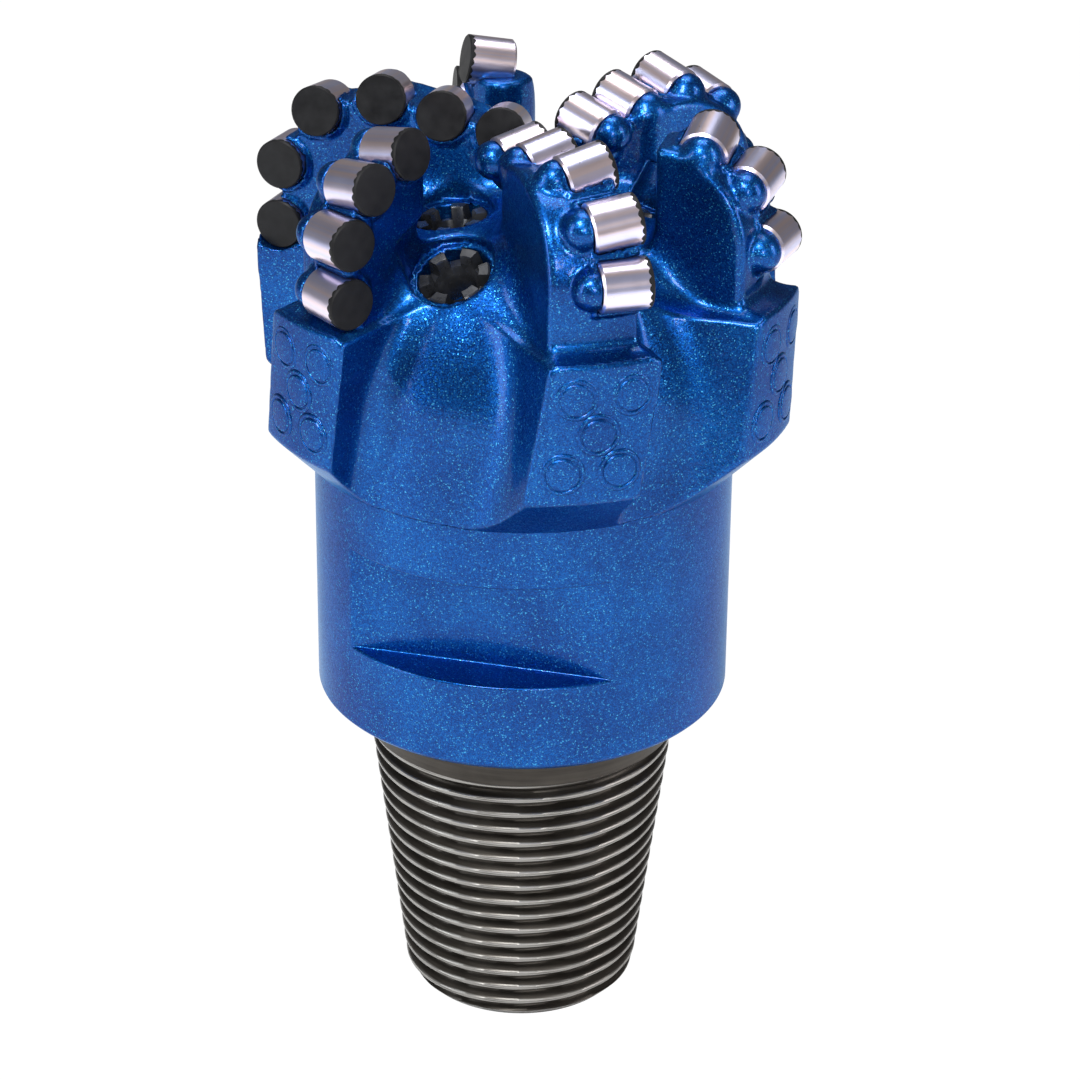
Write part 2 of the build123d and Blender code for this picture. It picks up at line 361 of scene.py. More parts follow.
def soft_max(a: np.ndarray, b: np.ndarray, k: float) -> np.ndarray:
    """Intersection of two distance fields with a rounding of about k on the edge.

    Args:
        a: first field.
        b: second field.
        k: size of the rounding in millimetres.

    Returns:
        The joined field.
    """
    return -soft_min(-a, -b, k)


@dataclass
class CrownField:
    """Signed distance to the painted crown, negative inside, in millimetres."""

    root_cove: float = 8.5
    edge: float = 1.3
    trailing_edge: float = 2.2
    ball_blend: float = 2.2
    saddle_radius: float = 7.7
    saddle_top: float = 0.6
    hub_shoulder: float = 7.0
    low_corner: float = 10.0
    low_trail: float = 11.0
    pocket_edge: float = 0.5
    mouth_flare: float = 0.9
    mouth_edge: float = 1.2
    foot_edge: float = 0.8
    reach: float = 22.0
    seats: list[Seat] = field(default_factory=list)
    bare: list[Seat] = field(default_factory=list)
    jets: list[Seat] = field(default_factory=list)

    def __post_init__(self) -> None:
        for blade in BLADES:
            seats = [cutter_seat(blade.azimuth, place) for place in blade.places]
            sunk = 1 if blade.ending is Ending.LOW else 0
            self.bare += seats[:sunk]
            self.seats += seats[sunk:]
        self.jets = [nozzle_seat(*row) for row in NOZZLES]

    def envelope(self, r: np.ndarray, z: np.ndarray) -> np.ndarray:
        """Turned envelope of the blades.

        Args:
            r: distances from the axis.
            z: heights.

        Returns:
            The field.
        """
        c, s = math.cos(CROWN.cone), math.sin(CROWN.cone)
        side = r - CROWN.arc_r
        top = (z - CROWN.arc_z) * c - side * s
        past_side = z - CROWN.arc_z
        past_top = side * c + past_side * s
        corner = np.hypot(side, past_side)
        inner = np.where((past_side > 0) & (past_top > 0), corner, np.maximum(side, top))
        upper = inner - (CROWN.arc_radius - CROWN.blade_sunk)
        pad = soft_max(r - CROWN.pad_radius, z - CROWN.pad_top_z, 2.0)
        return soft_min(upper, pad, CROWN.step_fillet)

    def foot(self, r: np.ndarray, z: np.ndarray) -> np.ndarray:
        """Level foot of the crown and the bevel up to the pads.

        Args:
            r: distances from the axis.
            z: heights.

        Returns:
            The field.
        """
        run = CROWN.pad_radius - CROWN.foot_radius
        length = math.hypot(run, CROWN.pad_foot)
        bevel = ((r - CROWN.foot_radius) * CROWN.pad_foot - (z - CROWN.foot_z) * run) / length
        return np.maximum(bevel, CROWN.foot_z - z)

    def hub(self, r: np.ndarray, z: np.ndarray) -> np.ndarray:
        """Turned hub under the junk slots.

        Args:
            r: distances from the axis.
            z: heights.

        Returns:
            The field.
        """
        rise = z - CROWN.foot_z
        lift = CROWN.hub_rim_rise - CROWN.hub_side_rise
        inset = CROWN.hub_side_radius - CROWN.hub_rim_radius
        radius = (inset * inset + lift * lift) / (2 * inset)
        above = np.maximum(rise - CROWN.hub_side_rise, 0)
        barrel = np.hypot(r - (CROWN.hub_side_radius - radius), above)
        fall = (CROWN.foot_radius - CROWN.hub_side_radius) / CROWN.hub_side_rise
        barrel -= radius + np.maximum(CROWN.hub_side_rise - rise, 0) * fall
        slope = (CROWN.hub_top_rise - CROWN.hub_rim_rise) / CROWN.hub_rim_radius
        top = (rise - CROWN.hub_top_rise + r * slope) / math.hypot(1, slope)
        return soft_max(barrel, top, self.hub_shoulder)

    def blade(self, row: BladeRow, p: np.ndarray, envelope: np.ndarray) -> np.ndarray:
        """One blade and its pad, inside the envelope.

        Args:
            row: the blade.
            p: points, one a row.
            envelope: the envelope's field at the points.

        Returns:
            The field.
        """
        x = p @ radial(row.azimuth)
        y = p @ leading(row.azimuth)
        z = p[:, 2]
        slope = (CROWN.trail_outer - CROWN.trail_inner) / (CROWN.outside - row.inner)
        trail = (CROWN.trail_inner + slope * (x - row.inner) - y) / math.hypot(1, slope)
        low = row.ending is Ending.LOW
        plan = soft_max(y - CROWN.blade_lead, row.inner - x, self.low_corner if low else 1.5)
        if row.ending is Ending.TO_CENTRE:
            corner = (row.inner - x + CROWN.trail_inner + CROWN.inner_cut - y) / math.sqrt(2)
            plan = soft_max(plan, corner, 3.0)
        upper = soft_max(plan, CROWN.pad_top_z - 9.0 - z, 1.0)
        upper = soft_max(upper, envelope, self.edge)
        upper = soft_max(upper, trail, self.low_trail if low else self.trailing_edge)
        if low:
            upper = soft_max(upper, z - CROWN.arc_z - CROWN.low_top_rise, self.edge)
        turned = y - (z - CROWN.pad_top_z) * CROWN.pad_lean
        pad = soft_max(turned - CROWN.pad_lead, CROWN.trail_outer - turned, 1.0)
        pad = soft_max(pad, CROWN.hub_rim_radius - x, 1.0)
        pad = soft_max(pad, soft_max(envelope, z - CROWN.pad_top_z, 1.0), self.edge)
        return soft_min(upper, pad, 4.0)

    def __call__(self, p: np.ndarray) -> np.ndarray:
        """The whole crown.

        Args:
            p: points, one a row, in millimetres.

        Returns:
            The field.
        """
        r = np.hypot(p[:, 0], p[:, 1])
        z = p[:, 2]
        envelope = self.envelope(r, z)
        blades = None
        for row in BLADES:
            one = self.blade(row, p, envelope)
            blades = one if blades is None else soft_min(blades, one, 2.0)
        value = soft_min(self.hub(r, z), blades, self.root_cove)
        for seat in self.seats:
            value = self._around(seat, p, value, self._backing)
        value = soft_max(value, r - CROWN.pad_radius, 0.8)
        for seat in self.seats + self.bare:
            value = self._around(seat, p, value, self._pocket)
        for jet in self.jets:
            value = self._around(jet, p, value, self._port)
        return soft_max(value, self.foot(r, z), self.foot_edge)

    def _around(
        self, seat: Seat, p: np.ndarray, value: np.ndarray,
        change: Callable[[np.ndarray, np.ndarray, np.ndarray, np.ndarray], np.ndarray],
    ) -> np.ndarray:
        """Apply a change to the points near a seat only."""
        q = p - seat.origin
        near = np.flatnonzero(np.einsum("ij,ij->i", q, q) < self.reach**2)
        if near.size:
            q = q[near]
            value[near] = change(q @ seat.x, q @ seat.y, q @ seat.z, value[near])
        return value

    def _backing(self, x: np.ndarray, y: np.ndarray, z: np.ndarray, value: np.ndarray) -> np.ndarray:
        """Saddle under a cutter, and the ball behind it."""
        saddle = np.hypot(x, y) - self.saddle_radius
        saddle = soft_max(saddle, y - self.saddle_top, 0.8)
        saddle = soft_max(saddle, np.maximum(z + 1.8, -z - CUTTER.length - 1.5), 1.0)
        value = soft_min(value, saddle, 1.6)
        behind = z + CUTTER.length + CUTTER.ball_setback
        ball = np.sqrt(x * x + (y - CUTTER.ball_lift) ** 2 + behind**2) - CUTTER.ball_radius
        return soft_min(value, ball, self.ball_blend)

    def _pocket(self, x: np.ndarray, y: np.ndarray, z: np.ndarray, value: np.ndarray) -> np.ndarray:
        """Round pocket that a cutter lies in."""
        hole = np.maximum(np.hypot(x, y) - CUTTER.radius - CUTTER.braze_gap, -z - CUTTER.length)
        hole = np.maximum(hole, z - CUTTER.radius)
        return soft_max(value, -hole, self.pocket_edge)

    def _port(self, x: np.ndarray, y: np.ndarray, z: np.ndarray, value: np.ndarray) -> np.ndarray:
        """Mouth and seat of a nozzle."""
        out = np.hypot(x, y)
        mouth = out - NOZZLE.mouth_radius - self.mouth_flare
        mouth = np.maximum(mouth, np.maximum(-z, z - NOZZLE.mouth_length))
        seat = np.maximum(out - NOZZLE.radius - 0.1, np.maximum(-z - NOZZLE.length, z))
        return soft_max(value, -np.minimum(mouth, seat), self.mouth_edge)

    def gradient(self, p: np.ndarray, step: float = 0.12) -> np.ndarray:
        """Slope of the field by central differences.

        Args:
            p: points, one a row.
            step: half the distance between samples.

        Returns:
            One vector a point.
        """
        slopes = []
        for axis in range(3):
            shift = np.zeros(3)
            shift[axis] = step
            slopes.append((self(p + shift) - self(p - shift)) / (2 * step))
        return np.stack(slopes, axis=1)


# ---------------------------------------------------------------------------------------------
# Mesh helpers
# ---------------------------------------------------------------------------------------------


def new_object(name: str, mesh: bpy.types.Mesh) -> bpy.types.Object:
    """Link a mesh to the scene as a smooth-shaded object.

    Args:
        name: of the object.
        mesh: its mesh.

    Returns:
        The object.
    """
    obj = bpy.data.objects.new(name, mesh)
    bpy.context.scene.collection.objects.link(obj)
    mesh.polygons.foreach_set("use_smooth", [True] * len(mesh.polygons))
    return obj


def turned_rings(
    rows: Sequence[tuple[float | np.ndarray, float | np.ndarray]], angles: np.ndarray
) -> list[np.ndarray]:
    """Rings of points round the z axis.

    Args:
        rows: radius and height of each ring, the same all round or one an angle.
        angles: of the points in a ring.

    Returns:
        The rings.
    """
    c, s = np.cos(angles), np.sin(angles)
    return [np.stack([r * c, r * s, np.broadcast_to(z, c.shape)], axis=1) for r, z in rows]


def weld(mesh: bpy.types.Mesh) -> None:
    """Merge doubled vertices and make the normals agree.

    Args:
        mesh: the mesh.
    """
    b = bmesh.new()
    b.from_mesh(mesh)
    bmesh.ops.remove_doubles(b, verts=b.verts, dist=1e-6)
    bmesh.ops.recalc_face_normals(b, faces=b.faces)
    b.to_mesh(mesh)
    b.free()


def grid_mesh(name: str, rings: Sequence[np.ndarray]) -> bpy.types.Mesh:
    """Mesh of quads through rings of points of equal length, each ring closed on itself.

    Args:
        name: of the mesh.
        rings: arrays of points, in millimetres.

    Returns:
        The mesh.
    """
    count = len(rings[0])
    points = np.concatenate(rings) * MM
    i = np.arange(count)
    j = np.roll(i, -1)
    faces = []
    for row in range(len(rings) - 1):
        a, b = row * count, (row + 1) * count
        faces.append(np.stack([a + i, a + j, b + j, b + i], axis=1))
    mesh = bpy.data.meshes.new(name)
    mesh.from_pydata(points.tolist(), [], np.concatenate(faces).tolist())
    mesh.update()
    return mesh


def sharpen(obj: bpy.types.Object, angle: float = 35.0) -> None:
    """Mark edges sharper than an angle as hard.

    Args:
        obj: the object.
        angle: in degrees.
    """
    obj.data.set_sharp_from_angle(angle=math.radians(angle))


def mark_points(mesh: bpy.types.Mesh, name: str, values: np.ndarray) -> None:
    """Keep a number at each vertex for the materials.

    Args:
        mesh: the mesh.
        name: of the attribute.
        values: one a vertex.
    """
    mesh.attributes.new(name, "FLOAT", "POINT").data.foreach_set("value", values.astype(np.float32))


def take_place(obj: bpy.types.Object, slot: str, *nodes: str) -> None:
    """Let a piece ride on the root and stand for CAD nodes.

    Args:
        obj: the piece.
        slot: not used.
        nodes: the CAD nodes that it replaces.
    """
    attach(obj, ROOT)
    if nodes:
        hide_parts(*nodes)
    LOG.info("%s stands for %s", obj.name, ", ".join(nodes) or "nothing")


# ---------------------------------------------------------------------------------------------
# Materials
# ---------------------------------------------------------------------------------------------


class Graph:
    """Short calls for building a node tree."""

    def __init__(self, tree: bpy.types.NodeTree) -> None:
        self.tree = tree

    def node(self, kind: str, **settings: object) -> bpy.types.Node:
        """Add a node and set its properties; names that are sockets are set as inputs."""
        made = self.tree.nodes.new(kind)
        for key, value in settings.items():
            if hasattr(made, key):
                setattr(made, key, value)
            else:
                made.inputs[key.replace("_", " ")].default_value = value
        return made

    def link(self, source: bpy.types.NodeSocket, target: bpy.types.NodeSocket) -> None:
        """Join two sockets."""
        self.tree.links.new(source, target)

    def math(
        self, operation: str, a: object, b: object = 0.0, clamp: bool = False
    ) -> bpy.types.NodeSocket:
        """Math node on sockets or numbers."""
        made = self.tree.nodes.new("ShaderNodeMath")
        made.operation = operation
        made.use_clamp = clamp
        for index, value in enumerate((a, b)):
            if isinstance(value, bpy.types.NodeSocket):
                self.link(value, made.inputs[index])
            else:
                made.inputs[index].default_value = value
        return made.outputs[0]

    def noise(
        self, place: bpy.types.NodeSocket, scale: float, detail: float = 2.0
    ) -> bpy.types.NodeSocket:
        """Noise texture at a place."""
        made = self.tree.nodes.new("ShaderNodeTexNoise")
        made.inputs["Scale"].default_value = scale
        made.inputs["Detail"].default_value = detail
        self.link(place, made.inputs["Vector"])
        return made.outputs["Fac"]

    def ramp(
        self, value: bpy.types.NodeSocket, stops: Sequence[tuple[float, tuple[float, ...]]]
    ) -> bpy.types.NodeSocket:
        """Colour ramp through (position, colour) stops."""
        made = self.tree.nodes.new("ShaderNodeValToRGB")
        elements = made.color_ramp.elements
        while len(elements) < len(stops):
            elements.new(0.5)
        for element, (position, colour) in zip(elements, stops):
            element.position = position
            element.color = (*colour, 1.0)
        self.link(value, made.inputs[0])
        return made.outputs[0]

    def range(
        self, value: bpy.types.NodeSocket, low: float, high: float, to_low: float, to_high: float
    ) -> bpy.types.NodeSocket:
        """Map Range node."""
        made = self.tree.nodes.new("ShaderNodeMapRange")
        self.link(value, made.inputs["Value"])
        ends = {"From Min": low, "From Max": high, "To Min": to_low, "To Max": to_high}
        for name, number in ends.items():
            made.inputs[name].default_value = number
        return made.outputs["Result"]

    def mix(self, factor: object, a: object, b: object) -> bpy.types.NodeSocket:
        """Mix two colours."""
        made = self.tree.nodes.new("ShaderNodeMix")
        made.data_type = "RGBA"
        for index, value in ((0, factor), (6, a), (7, b)):
            socket = made.inputs[index]
            if isinstance(value, bpy.types.NodeSocket):
                self.link(value, socket)
            else:
                socket.default_value = value if isinstance(value, float) else (*value, 1.0)
        return made.outputs[2]


def flake_group() -> bpy.types.NodeTree:
    """Metal flakes in paint: how strongly a flake glints, its tint and the paint's skin height.

    Returns:
        The node group.
    """
    name = "paint_flakes"
    if name in bpy.data.node_groups:
        return bpy.data.node_groups[name]
    tree = bpy.data.node_groups.new(name, "ShaderNodeTree")
    for socket, kind in (("Glint", "Float"), ("Shade", "Float"), ("Tilt", "Vector"), ("Skin", "Float")):
        tree.interface.new_socket(socket, in_out="OUTPUT", socket_type=f"NodeSocket{kind}")
    density = tree.interface.new_socket("Density", in_out="INPUT", socket_type="NodeSocketFloat")
    density.default_value = 1.0
    g = Graph(tree)
    out = g.node("NodeGroupOutput")
    given = g.node("NodeGroupInput")
    place = g.node("ShaderNodeTexCoord").outputs["Object"]
    cells = g.node("ShaderNodeTexVoronoi", feature="F1")
    cells.inputs["Scale"].default_value = 3600.0
    g.link(place, cells.inputs["Vector"])
    parts = g.node("ShaderNodeSeparateColor")
    g.link(cells.outputs["Color"], parts.inputs[0])
    rare = g.range(parts.outputs["Red"], 0.93, 1.0, 0.0, 0.6)
    g.link(g.math("MULTIPLY", rare, given.outputs["Density"], clamp=True), out.inputs["Glint"])
    g.link(parts.outputs["Green"], out.inputs["Shade"])
    tilt = g.node("ShaderNodeVectorMath", operation="SUBTRACT")
    g.link(cells.outputs["Color"], tilt.inputs[0])
    tilt.inputs[1].default_value = (0.5, 0.5, 0.5)
    g.link(tilt.outputs[0], out.inputs["Tilt"])
    g.link(g.noise(place, 520.0, 3.0), out.inputs["Skin"])
    return tree


@dataclass(frozen=True)
class PaintFinish:
    """Blue flake paint over cast and milled steel."""

    name: str
    deep: tuple[float, float, float] = (0.001, 0.020, 0.12)
    mid: tuple[float, float, float] = (0.002, 0.045, 0.21)
    bright: tuple[float, float, float] = (0.004, 0.10, 0.36)
    glint: tuple[float, float, float] = (0.08, 0.50, 0.80)
    skin_height: float = 0.00012
    flake_tilt: float = 0.16
    mill_lines: bool = False

    def build(self) -> bpy.types.Material:
        """Make the material.

        Returns:
            The material.
        """
        material = bpy.data.materials.new(self.name)
        material.use_nodes = True
        g = Graph(material.node_tree)
        shader = material.node_tree.nodes["Principled BSDF"]
        flakes = g.node("ShaderNodeGroup")
        flakes.node_tree = flake_group()
        place = g.node("ShaderNodeTexCoord").outputs["Object"]
        broad = g.math("MULTIPLY", g.noise(place, 45.0, 4.0), 0.55)
        tone = g.math("ADD", broad, g.math("MULTIPLY", flakes.outputs["Shade"], 0.45))
        colour = g.ramp(tone, ((0.22, self.deep), (0.50, self.mid), (0.80, self.bright)))
        colour = g.mix(flakes.outputs["Glint"], colour, self.glint)
        g.link(colour, shader.inputs["Base Color"])
        shader.inputs["Metallic"].default_value = 0.9
        g.link(g.range(tone, 0.2, 0.8, 0.30, 0.40), shader.inputs["Roughness"])
        shader.inputs["Specular Tint"].default_value = (0.15, 0.50, 0.80, 1.0)
        shader.inputs["Coat Weight"].default_value = 0.22
        shader.inputs["Coat Roughness"].default_value = 0.12
        shader.inputs["Coat Tint"].default_value = (0.75, 0.93, 1.0, 1.0)
        height = flakes.outputs["Skin"]
        if self.mill_lines:
            mask = g.node("ShaderNodeAttribute", attribute_name="milled").outputs["Fac"]
            stretch = g.node("ShaderNodeMapping")
            stretch.inputs["Scale"].default_value = (25.0, 25.0, 1500.0)
            g.link(place, stretch.inputs["Vector"])
            lines = g.noise(stretch.outputs["Vector"], 1.0)
            marks = g.math("MULTIPLY", g.math("MULTIPLY", lines, mask), 0.9)
            height = g.math("ADD", height, marks)
        bump = g.node("ShaderNodeBump")
        bump.inputs["Strength"].default_value = 0.55
        bump.inputs["Distance"].default_value = self.skin_height
        g.link(height, bump.inputs["Height"])
        tilt = g.node("ShaderNodeVectorMath", operation="SCALE")
        g.link(flakes.outputs["Tilt"], tilt.inputs[0])
        tilt.inputs["Scale"].default_value = self.flake_tilt
        lean = g.node("ShaderNodeVectorMath", operation="ADD")
        g.link(bump.outputs["Normal"], lean.inputs[0])
        g.link(tilt.outputs[0], lean.inputs[1])
        unit = g.node("ShaderNodeVectorMath", operation="NORMALIZE")
        g.link(lean.outputs[0], unit.inputs[0])
        g.link(unit.outputs[0], shader.inputs["Normal"])
        g.link(bump.outputs["Normal"], shader.inputs["Coat Normal"])
        LOG.info("paint %s", self.name)
        return material


@dataclass(frozen=True)
class MetalFinish:
    """Bare metal with streaks along one axis, patches and fine grain."""

    name: str
    dark: tuple[float, float, float]
    light: tuple[float, float, float]
    metallic: float
    rough_low: float
    rough_high: float
    stretch: tuple[float, float, float] = (300.0, 300.0, 300.0)
    grain: float = 0.00003
    # Colour of a painted highlight on the edges of thread crests.
    crest_highlight: tuple[float, float, float] | None = None
    # Colour of a painted reflection, laid in bands round a turned part by its turn attribute.
    tint: tuple[float, float, float] | None = None
    specular: float = 0.5

    def build(self) -> bpy.types.Material:
        """Make the material.

        Returns:
            The material.
        """
        material = bpy.data.materials.new(self.name)
        material.use_nodes = True
        g = Graph(material.node_tree)
        shader = material.node_tree.nodes["Principled BSDF"]
        place = g.node("ShaderNodeTexCoord").outputs["Object"]
        mapping = g.node("ShaderNodeMapping")
        mapping.inputs["Scale"].default_value = self.stretch
        g.link(place, mapping.inputs["Vector"])
        streaks = g.noise(mapping.outputs["Vector"], 1.0, 5.0)
        patches = g.noise(place, 90.0, 6.0)
        tone = g.math("ADD", g.math("MULTIPLY", streaks, 0.6), g.math("MULTIPLY", patches, 0.4))
        colour = g.ramp(tone, ((0.32, self.dark), (0.68, self.light)))
        rough = g.range(tone, 0.3, 0.7, self.rough_low, self.rough_high)
        # Painted reflection: pinkish bands round each post, following its turn, stand in for
        # surroundings mirrored in the polished carbide.
        if self.tint:
            turn = g.node("ShaderNodeCombineXYZ")
            g.link(g.node("ShaderNodeAttribute", attribute_name="turn").outputs["Fac"], turn.inputs[0])
            reflection_bands = g.noise(turn.outputs[0], 7.0)
            colour = g.mix(g.range(reflection_bands, 0.42, 0.60, 0.0, 1.0), colour, self.tint)
        # Painted highlight: lighter colour and lower roughness on the thread crests' edges that the
        # vertex attribute marks.
        if self.crest_highlight:
            mask = g.node("ShaderNodeAttribute", attribute_name="crest_highlight").outputs["Fac"]
            colour = g.mix(mask, colour, self.crest_highlight)
            rough = g.math("MULTIPLY", rough, g.range(mask, 0.0, 1.0, 1.0, 0.7))
        g.link(colour, shader.inputs["Base Color"])
        g.link(rough, shader.inputs["Roughness"])
        shader.inputs["Metallic"].default_value = self.metallic
        shader.inputs["Specular IOR Level"].default_value = self.specular
        bump = g.node("ShaderNodeBump")
        bump.inputs["Strength"].default_value = 0.5
        bump.inputs["Distance"].default_value = self.grain
        g.link(tone, bump.inputs["Height"])
        g.link(bump.outputs["Normal"], shader.inputs["Normal"])
        LOG.info("metal %s", self.name)
        return material


@dataclass
class Palette:
    """The bit's materials, made once."""

    crown_paint: bpy.types.Material
    paint: bpy.types.Material
    carbide: bpy.types.Material
    diamond: bpy.types.Material
    nozzle: bpy.types.Material
    pin: bpy.types.Material

    @classmethod
    def make(cls) -> "Palette":
        """Build every material.

        Returns:
            The palette.
        """
        return cls(
            crown_paint=PaintFinish("crown_flake_paint", mill_lines=True).build(),
            paint=PaintFinish("shank_flake_paint").build(),
            # Polished carbide, with painted reflection bands of pinkish colour round each post.
            carbide=MetalFinish(
                "polished_carbide", (0.58, 0.58, 0.80), (0.64, 0.64, 0.86), 1.0, 0.27, 0.30,
                stretch=(260.0, 260.0, 260.0), grain=0.000001, tint=(0.78, 0.64, 0.66),
            ).build(),
            diamond=MetalFinish(
                "lapped_diamond", (0.005, 0.005, 0.0055), (0.012, 0.012, 0.013), 0.0, 0.36, 0.50,
                grain=0.00001, specular=0.14,
            ).build(),
            nozzle=MetalFinish(
                "dark_carbide", (0.020, 0.021, 0.024), (0.060, 0.062, 0.068), 0.6, 0.20, 0.34
            ).build(),
            # Dark phosphated pin, with a painted highlight on the edges of its thread crests.
            pin=MetalFinish(
                "phosphated_steel", (0.020, 0.017, 0.014), (0.060, 0.053, 0.045), 0.75, 0.30, 0.50,
                stretch=(30.0, 30.0, 700.0), crest_highlight=(0.34, 0.33, 0.31),
            ).build(),
        )


# ---------------------------------------------------------------------------------------------
# Pieces
# ---------------------------------------------------------------------------------------------


@dataclass
class CrownBody:
    """The painted crown, meshed from its distance field."""

    material: bpy.types.Material
    voxel: float = 1.1
    shape: CrownField = field(default_factory=CrownField)

    def build(self) -> bpy.types.Object:
        """Mesh the field, settle the vertices on it and shade with its slopes.

        Returns:
            The crown.
        """
        low = np.array([-77.0, -77.0, CROWN.foot_z - 3.0])
        high = np.array([77.0, 77.0, CROWN.arc_z + 34.0])
        counts = np.ceil((high - low) / self.voxel).astype(int) + 1
        axes = [low[i] + np.arange(counts[i]) * self.voxel for i in range(3)]
        values = np.empty(tuple(counts), dtype=np.float32)
        for index, x in enumerate(axes[0]):
            yy, zz = np.meshgrid(axes[1], axes[2], indexing="ij")
            points = np.stack([np.full(yy.size, x), yy.ravel(), zz.ravel()], axis=1)
            values[index] = self.shape(points).reshape(yy.shape)
        volume = openvdb.FloatGrid(3.0)
        volume.copyFromArray(np.clip(values, -3.0, 3.0))
        points, quads = volume.convertToQuads(0.0)
        points = points.astype(float) * self.voxel + low
        for _ in range(3):
            slope = self.shape.gradient(points)
            size = np.maximum(np.einsum("ij,ij->i", slope, slope), 0.2)
            step = self.shape(points)[:, None] * slope / size[:, None]
            length = np.linalg.norm(step, axis=1, keepdims=True)
            points -= step * np.minimum(1.0, 0.4 / np.maximum(length, 1e-9))
        normals = self.shape.gradient(points)
        normals /= np.maximum(np.linalg.norm(normals, axis=1, keepdims=True), 1e-9)
        mesh = bpy.data.meshes.new("crown_body")
        mesh.from_pydata((points * MM).tolist(), [], quads.tolist())
        mesh.update()
        obj = new_object("crown_body", mesh)
        mesh.normals_split_custom_set_from_vertices(normals.tolist())
        r = np.hypot(points[:, 0], points[:, 1])
        hub = np.abs(self.shape.hub(r, points[:, 2]))
        milled = np.clip(1.2 - hub / 2.0, 0.0, 1.0)
        mark_points(mesh, "milled", milled)
        mesh.materials.append(self.material)
        LOG.info("crown has %d vertices and %d quads", len(points), len(quads))
        take_place(obj, "steel", "crown")
        return obj


@dataclass
class ShankBody:
    """The painted shank and the bare threaded pin."""

    paint: bpy.types.Material
    steel: bpy.types.Material
    columns: int = 240

    def _ring(
        self, radius: np.ndarray | float, z: np.ndarray | float, angles: np.ndarray
    ) -> np.ndarray:
        """Points round the axis."""
        r = np.broadcast_to(radius, angles.shape)
        height = np.broadcast_to(z, angles.shape)
        return np.stack([r * np.sin(angles), -r * np.cos(angles), height], axis=1)

    def _slot_angles(self) -> np.ndarray:
        """Angles round the shank, with the ends of both breaker slots among them."""
        half = math.acos(SHANK.breaker_flat / SHANK.radius)
        middle = math.radians(SHANK.breaker_azimuth)
        fraction = half / math.pi
        in_slot = max(8, int(self.columns * fraction))
        between = max(8, self.columns // 2 - in_slot)
        spans = []
        for turn in (0.0, math.pi):
            start, stop = middle + turn - half, middle + turn + half
            spans.append(np.linspace(start, stop, in_slot, endpoint=False))
            spans.append(np.linspace(stop, start + math.pi, between, endpoint=False))
        return np.concatenate(spans)

    def body(self) -> bpy.types.Object:
        """The painted shank.

        Returns:
            The shank.
        """
        angles = self._slot_angles()
        quarter = math.pi / 2
        from_middle = (angles - math.radians(SHANK.breaker_azimuth) + quarter) % math.pi - quarter
        flat = np.minimum(SHANK.radius, SHANK.breaker_flat / np.maximum(np.cos(from_middle), 0.2))
        foot = SHANK.pin_length
        low = foot + SHANK.breaker_foot
        high = low + SHANK.breaker_height
        top = foot + SHANK.height
        edge = SHANK.shoulder_chamfer
        rows = [
            (SHANK.base_radius - 6.0, foot), (SHANK.radius - edge, foot), (SHANK.radius, foot + edge),
            (SHANK.radius, low), (flat, low), (flat, high), (SHANK.radius, high),
            (SHANK.radius, top), (SHANK.bore_radius, top),
        ]
        rings = [self._ring(r, z, angles) for r, z in rows]
        mesh = grid_mesh("shank_body", rings)
        obj = new_object("shank_body", mesh)
        weld(mesh)
        bevel = obj.modifiers.new("edges", "BEVEL")
        bevel.width = 0.6 * MM
        bevel.segments = 3
        bevel.limit_method = "ANGLE"
        bevel.angle_limit = math.radians(30)
        sharpen(obj, 50)
        mesh.materials.append(self.paint)
        take_place(obj, "steel", "shank")
        return obj

    def pin(self) -> bpy.types.Object:
        """The threaded pin and the bore through it.

        Returns:
            The pin.
        """
        angles = np.linspace(0.0, 2 * math.pi, self.columns, endpoint=False)
        base = SHANK.pin_length - SHANK.base_length
        end_radius = SHANK.pin_large_radius - SHANK.pin_length * SHANK.taper
        heights = np.arange(0.0, base, SHANK.thread_pitch / 14)
        rings = [self._ring(SHANK.bore_radius, z, angles) for z in (SHANK.pin_length, 0.0)]
        crest_highlight = [np.zeros(len(angles))] * 2
        for z in heights:
            crest = SHANK.pin_large_radius - (SHANK.pin_length - z) * SHANK.taper
            crest = min(crest, end_radius - SHANK.end_chamfer + z)
            phase = (z / SHANK.thread_pitch - (math.pi / 2 - angles) / (-2 * math.pi)) % 1.0
            flank = np.clip((np.abs(phase - 0.5) * 2 - 0.20) / 0.62, 0.0, 1.0)
            depth = SHANK.thread_depth * (flank * flank * (3 - 2 * flank) * 0.35 + flank * 0.65)
            fade = min(1.0, max(0.0, (base - z) / 4.0))
            depth = depth * (0.25 + 0.75 * fade)
            floor = SHANK.pin_large_radius - (SHANK.pin_length - z) * SHANK.taper - depth
            rings.append(self._ring(np.minimum(crest, floor), z, angles))
            # Painted highlight: marks the edges of the thread crests for a lighter colour, as if they
            # catch the light.
            crest_edge = np.abs(np.abs(phase - 0.5) * 2 - 0.16)
            crest_highlight.append(np.clip(1.0 - flank * 6.0, 0.0, 1.0) * np.clip(1.5 - crest_edge * 9, 0.0, 1.0))
        rings.append(self._ring(SHANK.base_radius, base + 0.6, angles))
        rings.append(self._ring(SHANK.base_radius, SHANK.pin_length + 0.5, angles))
        crest_highlight += [np.zeros(len(angles))] * 2
        mesh = grid_mesh("pin", rings)
        obj = new_object("pin", mesh)
        mark_points(mesh, "crest_highlight", np.concatenate(crest_highlight))
        sharpen(obj, 50)
        mesh.materials.append(self.steel)
        take_place(obj, "steel", "shank")
        return obj

    def build(self) -> list[bpy.types.Object]:
        """Make both pieces.

        Returns:
            The shank and the pin.
        """
        return [self.body(), self.pin()]


